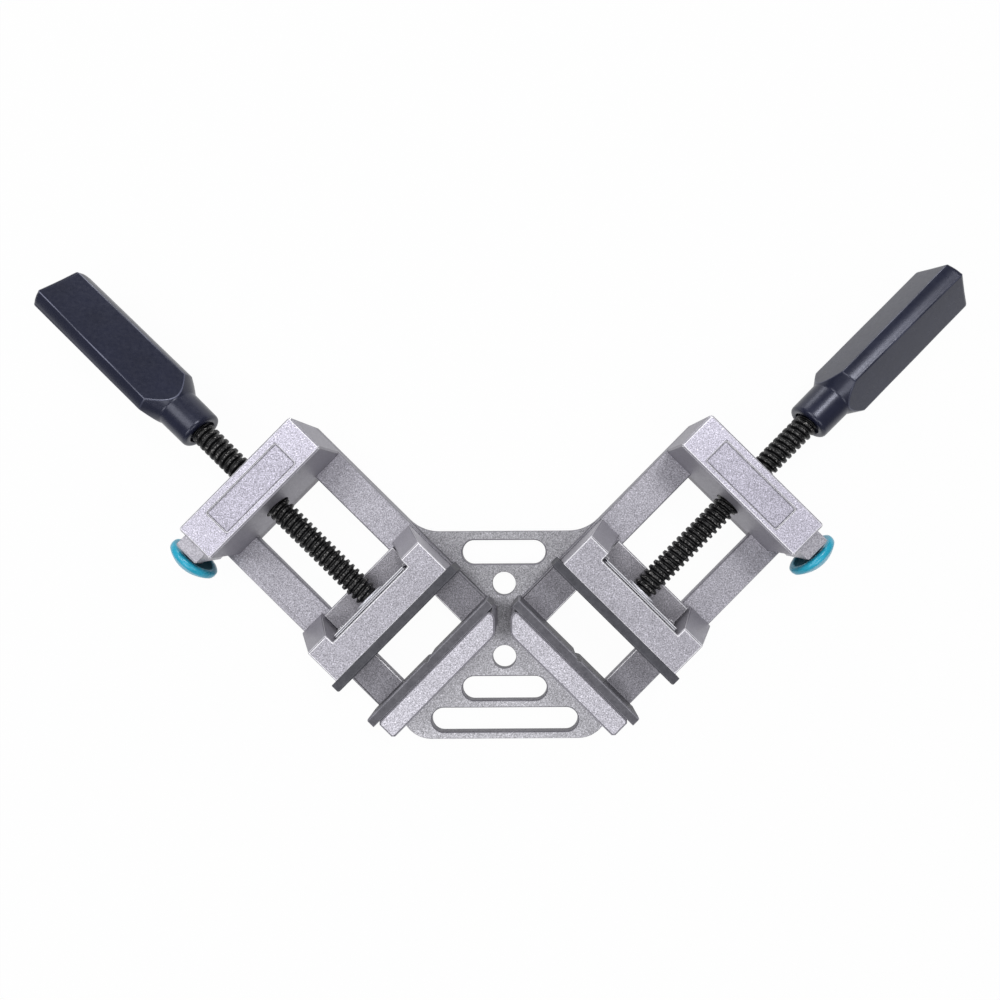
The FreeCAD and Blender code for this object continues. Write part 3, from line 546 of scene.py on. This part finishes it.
# The edge finishes, lighter than the pads, paint a highlight on the pads' chamfers and rounded edges.
fixed_highlight_edge = charcoal("fixed_highlight_edge", srgb(96, 95, 102), srgb(140, 139, 146))
moving_highlight_edge = charcoal("moving_highlight_edge", srgb(58, 58, 64), srgb(90, 90, 96))

for side in ARMS:
    rounded_copy(f"{side}_fixed_jaw_pad", f"{side}_fixed_pad", [fixed_charcoal, fixed_highlight_edge],
                 "frame", PAD_ROUNDING, 3)
    rounded_copy(f"{side}_moving_jaw_pad", f"{side}_moving_pad", [moving_charcoal, moving_highlight_edge],
                 f"{side}_jaw", PAD_ROUNDING, 3)


# Moving jaws: silver castings like the frame, each with a zinc-plated plate that drops over the screw's
# neck, and a plated keeper plate below the rails.

NECK_PLATE_ROUNDING = 0.34
KEEPER_ROUNDING = 0.3

bright_zinc = Finish("bright_zinc")
bright_zinc.colour(bright_zinc.mix(bright_zinc.noise(2.5, 4.0, 0.6), srgb(232, 233, 237),
                                   srgb(204, 206, 212)))
bright_zinc.rough(bright_zinc.vary(bright_zinc.noise(1.0, 3.0), 0.18, 0.34))
bright_zinc.set(Metallic=1.0)
bright_zinc.relief(bright_zinc.noise(0.4, 2.0), 0.015, 0.4)

dull_zinc = Finish("dull_zinc")
dull_zinc.colour(dull_zinc.mix(dull_zinc.noise(1.5, 4.0, 0.6), srgb(150, 150, 156), srgb(120, 120, 127)))
dull_zinc.set(Metallic=0.7, Roughness=0.5)
dull_zinc.relief(dull_zinc.noise(0.4, 2.0), 0.03, 0.5)

# The neck plate's near-white edges are a painted highlight.
plate_highlight_edge = Finish("plate_highlight_edge")
plate_highlight_edge.colour(plate_highlight_edge.mix(plate_highlight_edge.noise(2.5, 2.0), srgb(253, 253, 255), srgb(228, 228, 234)))
plate_highlight_edge.set(Metallic=0.1, Roughness=0.34)
plate_highlight_edge.relief(plate_highlight_edge.noise(0.4, 2.0), 0.01, 0.3)

for side in ARMS:
    rounded_copy(f"{side}_moving_jaw", f"{side}_jaw_casting", [silver_jaw, silver_edge], f"{side}_jaw",
                 CAST_ROUNDING)
    rounded_copy(f"{side}_retaining_plate", f"{side}_neck_plate", [dull_zinc.material, plate_highlight_edge.material],
                 f"{side}_jaw", NECK_PLATE_ROUNDING)
    rounded_copy(f"{side}_keeper_plate", f"{side}_under_plate", [bright_zinc.material], f"{side}_jaw",
                 KEEPER_ROUNDING)


# Screws: blackened steel with a coarse right-hand thread of 3 mm pitch, turned down to a plain neck where
# the plate holds it. A plated washer takes the thrust. The thread's crests are lighter in specks, partly
# rubbed by wear and partly a painted highlight.

# A screw's axis passes the rear bench hole at AXIS_ACROSS and lies AXIS_UP over the bench. The fixed pad's
# face lies FIXED_FACE out along the arm from the hole.
AXIS_ACROSS = 46.0
AXIS_UP = 20.5
FIXED_FACE = 2.05


def on_arm(side, along, across, up):
    """Points in metres from distances in millimetres along the arm, across it from the screw's axis, and
    up."""
    arm = ARMS[side]
    half = sqrt(0.5)
    x = -arm["hand"] * half * AXIS_ACROSS + cos(arm["turn"]) * along - sin(arm["turn"]) * across
    y = -half * AXIS_ACROSS + sin(arm["turn"]) * along + cos(arm["turn"]) * across
    return np.stack(np.broadcast_arrays(x, y, up), axis=-1) * MM


def on_jaw(side, along, across, up):
    """The same, with distances along the arm from the face of the moving jaw's pad."""
    return on_arm(side, along + FIXED_FACE + ARMS[side]["opening"], across, up)


def round_turn(count):
    """Angles evenly round a full turn, the last one short of the first."""
    return np.linspace(0.0, FULL_TURN, count, endpoint=False)


def skin(rows, pole_ends):
    """Points and faces of a closed surface: rings joined one to the next, and each end drawn to one point, or
    the last ring joined to the first."""
    count, around = rows.shape[:2]
    index = np.arange(count * around).reshape(count, around)
    beside = np.roll(index, -1, axis=1)
    if pole_ends:
        quads = np.stack([index[:-1], beside[:-1], beside[1:], index[1:]], axis=-1).reshape(-1, 4)
        first, last = count * around, count * around + 1
        points = np.concatenate([rows.reshape(-1, 3), rows[[0, -1]].mean(axis=1)])
        start = np.stack([np.full(around, first), beside[0], index[0]], axis=-1)
        end = np.stack([np.full(around, last), index[-1], beside[-1]], axis=-1)
        return points, quads.tolist() + start.tolist() + end.tolist()
    onward = np.roll(index, -1, axis=0)
    after = np.roll(onward, -1, axis=1)
    quads = np.stack([index, beside, after, onward], axis=-1).reshape(-1, 4)
    return rows.reshape(-1, 3), quads.tolist()


def add_piece(name, node, rows, material, body, pole_ends=True, carried=None):
    """Makes a closed surface a piece, with its faces outwards. Carried names and gives numbers that are
    stored on its points, with 0 on the two poles."""
    points, faces = skin(rows, pole_ends)
    first = np.array([face[:3] for face in faces])
    second = np.array([[face[0], face[2], face[3]] for face in faces if len(face) == 4])
    corners = points[np.concatenate([first, second])]
    volume = np.einsum("ij,ij->i", corners[:, 0], np.cross(corners[:, 1], corners[:, 2])).sum()
    if volume < 0:
        faces = [face[::-1] for face in faces]
    mesh = bpy.data.meshes.new(name)
    mesh.from_pydata(points.tolist(), [], faces)
    mesh.polygons.foreach_set("use_smooth", np.ones(len(faces), bool))
    mesh.materials.append(material)
    for label, values in (carried or {}).items():
        store = mesh.attributes.new(label, "FLOAT", "POINT")
        store.data.foreach_set("value", np.concatenate([values.ravel(), [0.0, 0.0]]).astype(np.float32))
    mesh.update()
    piece = add_object(name, mesh)
    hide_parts(node)
    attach(piece, body)
    return piece


def ease(value):
    """A smooth step from 0 to 1."""
    value = np.clip(value, 0.0, 1.0)
    return value * value * (3.0 - 2.0 * value)


# Places along the screw are counted from the face of the moving jaw's pad.
TIP_START = 10.55
TIP_END = 17.85
TIP_RADIUS = 5.58
NECK_END = 20.65
SCREW_NECK_RADIUS = 3.7
THREAD_END = 130.2
THREAD_STEP = 0.2
THREAD_PITCH = 3.0
THREAD_OUTER = 5.58
THREAD_DEPTH = 1.45
THREAD_RUN_IN = 2.2
THREAD_RUN_OUT = 2.5
THREAD_CORNERS = 48
SHANK_END = 166.2
SHANK_RADIUS = 4.5
FLANK_END = 0.80
FLANK = 0.46


def tooth(phase):
    """Height of the thread, 0 to 1, at a phase of 0 to 1: a flat crest, two slopes and a flat root."""
    off_crest = np.abs(phase - 0.5) * 2.0
    return ease((FLANK_END - off_crest) / FLANK)


def screw_rows(side):
    """Rings along the screw, and the thread's height at each point. In the threaded part the radius is the
    crest's less what is missing of the thread's depth. The thread fades out at both its ends."""
    before = np.array([(TIP_START, TIP_RADIUS - 0.28), (TIP_START + 0.25, TIP_RADIUS),
                       (TIP_END - 0.2, TIP_RADIUS), (TIP_END, TIP_RADIUS - 0.18),
                       (TIP_END + 0.01, SCREW_NECK_RADIUS), (NECK_END - 0.01, SCREW_NECK_RADIUS)])
    after = np.array([(THREAD_END + 0.01, SHANK_RADIUS), (SHANK_END - 0.4, SHANK_RADIUS),
                      (SHANK_END, SHANK_RADIUS - 0.4)])
    angle = round_turn(THREAD_CORNERS)
    thread = np.arange(NECK_END, THREAD_END, THREAD_STEP)[:, None]
    fade = ease((thread - NECK_END) / THREAD_RUN_IN) * ease((THREAD_END - 1.2 - thread) / THREAD_RUN_OUT)
    height = tooth(np.mod(thread / THREAD_PITCH - angle / FULL_TURN, 1.0)) * fade
    plain = [np.repeat(run[:, 1:], THREAD_CORNERS, axis=1) for run in (before, after)]
    along = np.concatenate([before[:, :1], thread, after[:, :1]])
    radius = np.concatenate([plain[0], THREAD_OUTER - THREAD_DEPTH * (1.0 - height), plain[1]])
    crest = np.concatenate([np.zeros_like(plain[0]), height, np.zeros_like(plain[1])])
    return on_jaw(side, along, radius * np.cos(angle), AXIS_UP + radius * np.sin(angle)), crest


black_screw = Finish("black_screw")
# Lighter specks on the crests: partly wear, partly a painted highlight.
rubbed_and_highlit = black_screw.work("MULTIPLY", black_screw.spread(black_screw.stored("crest"), 0.80, 1.0),
                          black_screw.spread(black_screw.noise(0.9, 3.0, 0.7), 0.56, 0.64))
black_screw.colour(black_screw.mix(rubbed_and_highlit, srgb(15, 15, 17), srgb(140, 138, 136)))
black_screw.rough(black_screw.vary(black_screw.noise(0.9, 2.0), 0.30, 0.55))
black_screw.set(Metallic=0.1, Specular_IOR_Level=0.4)
black_screw.relief(black_screw.noise(0.5, 3.0), 0.03, 0.5)

for side in ARMS:
    rows, crest = screw_rows(side)
    add_piece(f"{side}_screw", f"{side}_clamp_screw", rows, black_screw.material, f"{side}_spindle",
              carried={"crest": crest})

# The washer's section: distance along the screw from its start, and radius.
WASHER_START = 19.45
WASHER_SECTION = [(0.0, 3.85), (0.0, 7.1), (0.12, 7.38), (0.3, 7.5), (0.8, 7.5), (0.98, 7.38), (1.1, 7.1),
                  (1.1, 3.85)]
WASHER_CORNERS = 64


def washer_rows(side):
    """Rings of the washer: one for each corner of its section."""
    section = np.array(WASHER_SECTION)
    angle = round_turn(WASHER_CORNERS)
    radius = section[:, 1:]
    return on_jaw(side, section[:, :1] + WASHER_START, radius * np.cos(angle),
                  AXIS_UP + radius * np.sin(angle))


washer_zinc = Finish("washer_zinc")
washer_zinc.colour(washer_zinc.mix(washer_zinc.noise(2.0, 3.0), srgb(216, 216, 223), srgb(186, 186, 194)))
washer_zinc.set(Metallic=0.35, Roughness=0.32)
washer_zinc.relief(washer_zinc.noise(0.5, 2.0), 0.01, 0.3)

for side in ARMS:
    add_piece(f"{side}_washer", f"{side}_thrust_washer", washer_rows(side), washer_zinc.material,
              f"{side}_spindle", pole_ends=False)


# Handles: hard plastic mouldings, dark navy grey and satin. A three-sided bar with cut-off corners runs down
# a shoulder into a round neck, whose mouth takes the screw. The edges are softly rounded, with a painted
# highlight along them.

# Places along the handle are counted from the face of the moving jaw's pad, as the screw's are. The
# shoulder's cone would reach SHOULDER_OVERSHOOT past the bar's corners where it stops.
HANDLE_START = 127.2
HANDLE_END = 217.1
NECK_STOP = 142.8
SHOULDER_STOP = 151.5
SHOULDER_OVERSHOOT = 1.2
HANDLE_CORNERS = 240

# The mouth's lining, as distances from the handle's start and radii.
MOUTH = [(3.0, 0.5), (3.0, 6.0), (2.7, 6.28), (0.6, 6.3), (0.15, 6.45), (0.0, 6.8)]

# The neck widens by NECK_WIDENING over NECK_LENGTH, and its front is rounded.
NECK_RADIUS = 9.5
NECK_WIDENING = 0.12
NECK_LENGTH = 15.0
NECK_ROUNDING = 1.7

# The bar's flats and cut-off corners lie this far from its middle. The corners come CORNER_TAPER nearer
# towards the end, and are crowned by CORNER_CROWN within CROWN_REACH of their own middle.
FLAT_REACH = 9.95
CORNER_REACH = 13.95
CORNER_TAPER = 0.85
CORNER_CROWN = 0.32
CROWN_REACH = 3.0

# How sharply surfaces blend into each other, how wide the painted highlight along an edge is, and how much
# of it shows where a corner meets the shoulder.
BLEND = 150.0
BEND = 6.0
EDGE_BAND = 0.16
CORNER_HIGHLIGHT = 0.25

# The end's rounding, and the rings on its face: their share of the bar's radius and how deep they lie.
END_ROUNDING = 1.8
END_SHARES = [0.78, 0.55, 0.25, 0.04]
END_DEPTHS = [0.0, 0.05, 0.1, 0.1]


def soft_least(values):
    """The least of several radii, blended where two are nearly equal, so that the edge between is rounded."""
    stack = np.stack(np.broadcast_arrays(*values))
    return (stack ** -BLEND).sum(axis=0) ** (-1.0 / BLEND)


def bar_radius(angle, corner_reach):
    """Radius of the bar's section, how near an edge it is, and whether it lies on a flat: three flats and
    three cut-off corners, each a straight line, the corners crowned a little."""
    lines = []
    for turn in range(3):
        flat = angle - (pi / 2 + turn * FULL_TURN / 3)
        corner = flat - pi / 3
        off_middle = np.clip(corner - FULL_TURN * np.round(corner / FULL_TURN), -1.2, 1.2)
        across = corner_reach * np.tan(off_middle)
        crown = CORNER_CROWN * np.clip(1.0 - (across / CROWN_REACH) ** 2, 0.0, 1.0)
        lines.append(FLAT_REACH / np.maximum(np.cos(flat), 0.2) * np.ones_like(corner_reach))
        lines.append((corner_reach + crown) / np.maximum(np.cos(corner), 0.2))
    first, second = np.sort(np.stack(lines), axis=0)[:2]
    on_flat = np.argmin(np.stack(lines), axis=0) % 2 == 0
    return soft_least(lines), np.exp(-((second - first) / EDGE_BAND) ** 2), on_flat


def handle_rows(side):
    """Rings from the mouth's floor, out over the neck's rounded front, along neck, shoulder and bar to the
    end, and how much painted highlight each point takes from a near edge. Each radius of shoulder and bar is
    the lesser of the bar's section and of the cone that cuts the shoulder."""
    angle = round_turn(HANDLE_CORNERS)[None, :]
    bends = np.linspace(pi / 2, 0.0, 7)
    front = [(NECK_ROUNDING * (1 - sin(bend)), NECK_RADIUS - NECK_ROUNDING * (1 - cos(bend)))
             for bend in bends]
    neck = [(place, NECK_RADIUS + NECK_WIDENING * place / NECK_LENGTH) for place in
            np.linspace(2.0, NECK_STOP - 0.8 - HANDLE_START, 8)]
    turned = np.array(MOUTH + front + neck)
    turned_along = turned[:, :1] + HANDLE_START
    turned_radius = np.repeat(turned[:, 1:], HANDLE_CORNERS, axis=1)

    shoulder = np.linspace(NECK_STOP - 0.6, SHOULDER_STOP + 1.0, 52)
    x = np.concatenate([shoulder, np.linspace(SHOULDER_STOP + 1.6, HANDLE_END - 2.2, 36)])[:, None]
    taper = np.clip((x - SHOULDER_STOP) / (HANDLE_END - SHOULDER_STOP), 0.0, 1.0)
    bar, edge, on_flat = bar_radius(angle, CORNER_REACH - CORNER_TAPER * taper)
    slope = (CORNER_REACH + SHOULDER_OVERSHOOT - NECK_RADIUS) / (SHOULDER_STOP - NECK_STOP)
    rise = np.log1p(np.exp((x - NECK_STOP) * BEND)) / BEND
    cone = NECK_RADIUS + NECK_WIDENING + slope * rise
    cut = np.exp(-((bar - cone) / EDGE_BAND) ** 2) * np.where(on_flat, 1.0, CORNER_HIGHLIGHT)
    body_edge = np.maximum(np.where(cone > bar, edge, 0.0), cut)

    last_bar, last_edge = bar[-1:], edge[-1:]
    bends = np.linspace(0.0, pi / 2, 6)[:, None]
    end_along = HANDLE_END - END_ROUNDING + END_ROUNDING * np.sin(bends)
    end_radius = last_bar - END_ROUNDING * (1.0 - np.cos(bends))
    cap_along = HANDLE_END - np.array(END_DEPTHS)[:, None]
    cap_radius = last_bar * np.array(END_SHARES)[:, None]

    along = np.concatenate([turned_along, x, end_along, cap_along])
    radius = np.concatenate([turned_radius, soft_least([bar, cone]), end_radius, cap_radius])
    edge_highlight = np.concatenate([np.zeros_like(turned_radius), body_edge, np.repeat(last_edge, len(bends), axis=0),
                           np.zeros_like(cap_radius)]) * ARMS[side]["edge_highlight"]
    turn = angle + ARMS[side]["roll"]
    return on_jaw(side, along, radius * np.cos(turn), AXIS_UP + radius * np.sin(turn)), edge_highlight


navy_plastic = Finish("navy_plastic")
navy = navy_plastic.mix(navy_plastic.vary(navy_plastic.noise(14.0, 4.0)), srgb(22, 25, 41), srgb(28, 31, 49))
# The stored edge share paints a lighter highlight along the handle's edges and where corners meet the shoulder.
navy_plastic.colour(navy_plastic.mix(navy_plastic.work("MULTIPLY", navy_plastic.stored("edge"), 0.65), navy,
                                     srgb(132, 135, 156)))
navy_plastic.rough(navy_plastic.vary(navy_plastic.noise(1.5, 3.0), 0.27, 0.35))
navy_plastic.set(Specular_IOR_Level=0.62, Specular_Tint=(0.84, 0.86, 1.0, 1.0))
navy_plastic.relief(navy_plastic.noise(0.45, 3.0, 0.6), 0.02, 0.14)

for side in ARMS:
    rows, edge_highlight = handle_rows(side)
    add_piece(f"{side}_grip", f"{side}_handle", rows, navy_plastic.material, f"{side}_spindle",
              carried={"edge": edge_highlight})


# Quick release: a cast half nut slides in each bridge, with a turquoise button pressed on its end and a steel
# coil behind it. Pushing the button frees the screw's thread.

NUT_MIDDLE = 109.0
NUT_ROUNDING = 0.25

cast_zinc = Finish("cast_zinc")
cast_zinc.colour(cast_zinc.mix(cast_zinc.spread(cast_zinc.noise(0.6, 3.0, 0.7), 0.36, 0.64),
                               srgb(200, 198, 206), srgb(142, 140, 148)))
cast_zinc.rough(cast_zinc.vary(cast_zinc.noise(0.9), 0.28, 0.45))
cast_zinc.set(Metallic=0.4)
cast_zinc.relief(cast_zinc.noise(0.5, 3.0), 0.04, 0.5)

turquoise = Finish("turquoise")
bright = turquoise.mix(turquoise.vary(turquoise.noise(5.0, 3.0)), srgb(32, 152, 180), srgb(48, 170, 202))
# The darker turquoise of the back's dish is painted shade.
turquoise.colour(turquoise.mix(turquoise.stored("back"), bright, srgb(6, 82, 98)))
turquoise.rough(turquoise.work("ADD", turquoise.vary(turquoise.noise(1.2), 0.22, 0.34),
                               turquoise.work("MULTIPLY", turquoise.stored("back"), 0.6)))
turquoise.set(Specular_IOR_Level=0.55)
turquoise.relief(turquoise.noise(0.7, 2.0), 0.02, 0.35)

# The button's back lies BUTTON_BACK out from the screw's axis, and its middle BUTTON_UP over the bench. Its
# back and rim are given as distances outwards and radii, and the first rings, in the dish, are painted darker
# as shade.
BUTTON_BACK = 41.7
BUTTON_UP = 21.0
BUTTON_RADIUS = 11.75
BUTTON_BACK_AND_RIM = [(1.0, 0.3), (1.0, 4.0), (1.0, 6.6), (0.75, 7.6), (0.25, 8.4), (0.0, 9.2), (0.0, 10.4),
                       (0.15, 11.2), (0.5, 11.6), (1.1, 11.75), (1.9, 11.75)]
DARK_RINGS = 5
CROWN_START = 2.55
CROWN_HEIGHT = 4.9
BUTTON_CORNERS = 80


def button_rows(side):
    """Rings of the button from the middle of its dished back, round its rim, to the middle of its crown, and
    which points lie in the dish. The crown falls away with about the square of the distance from its
    middle."""
    shares = np.sqrt(np.linspace(0.955, 0.0005, 22))
    crown = [(CROWN_START + CROWN_HEIGHT * (1.0 - share * share) ** 0.92, BUTTON_RADIUS * share)
             for share in shares]
    profile = np.array(BUTTON_BACK_AND_RIM + crown)
    angle = round_turn(BUTTON_CORNERS)
    reach = (BUTTON_BACK + profile[:, :1]) * ARMS[side]["hand"]
    radius = profile[:, 1:]
    dish = np.zeros((len(profile), BUTTON_CORNERS))
    dish[:DARK_RINGS] = 1.0
    return on_arm(side, NUT_MIDDLE + radius * np.cos(angle), reach, BUTTON_UP + radius * np.sin(angle)), dish


# The coil's wire, and its ends, as distances from the screw's axis towards the arm's inner side.
COIL_TURNS = 7
COIL_STEPS = 28
COIL_RADIUS = 3.35
COIL_FAR_END = 29.5
COIL_LENGTH = 19.0
COIL_CLOSER = 0.055
WIRE_RADIUS = 0.43
WIRE_CORNERS = 10

# The spring's space in the half nut at rest runs from its seat to the frame's wall.
SPRING_SEAT = 10.0
SPRING_WALL = 30.0


def coil_rows(side):
    """Rings of a round wire along a helix, its turns closer at both ends."""
    turns = np.linspace(0.0, 1.0, COIL_TURNS * COIL_STEPS)
    reach = COIL_LENGTH * (turns - COIL_CLOSER * np.sin(FULL_TURN * turns)) - COIL_FAR_END
    around = turns * COIL_TURNS * FULL_TURN
    centre, farther = (on_arm(side, NUT_MIDDLE + radius * np.cos(around), reach * ARMS[side]["hand"],
                              AXIS_UP + radius * np.sin(around))
                       for radius in (COIL_RADIUS, COIL_RADIUS + 1.0))
    outward = farther - centre
    outward /= np.linalg.norm(outward, axis=1)[:, None]
    onward = np.gradient(centre, axis=0)
    onward /= np.linalg.norm(onward, axis=1)[:, None]
    beside = np.cross(onward, outward)
    section = round_turn(WIRE_CORNERS)[None, :, None]
    return centre[:, None, :] + WIRE_RADIUS * MM * (np.cos(section) * outward[:, None, :]
                                                    + np.sin(section) * beside[:, None, :])


for side in ARMS:
    rounded_copy(f"{side}_half_nut", f"{side}_nut_slide", [cast_zinc.material], f"{side}_release",
                 NUT_ROUNDING)
    rows, dish = button_rows(side)
    add_piece(f"{side}_button", f"{side}_release_button", rows, turquoise.material, f"{side}_release",
              carried={"back": dish})
    coil = add_piece(f"{side}_coil", f"{side}_release_spring", coil_rows(side), bright_zinc.material,
                     f"{side}_release")
    ends = np.array([-SPRING_SEAT, -SPRING_WALL]) * ARMS[side]["hand"]
    nut_end, wall_end = on_arm(side, NUT_MIDDLE, ends, AXIS_UP)
    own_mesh(coil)
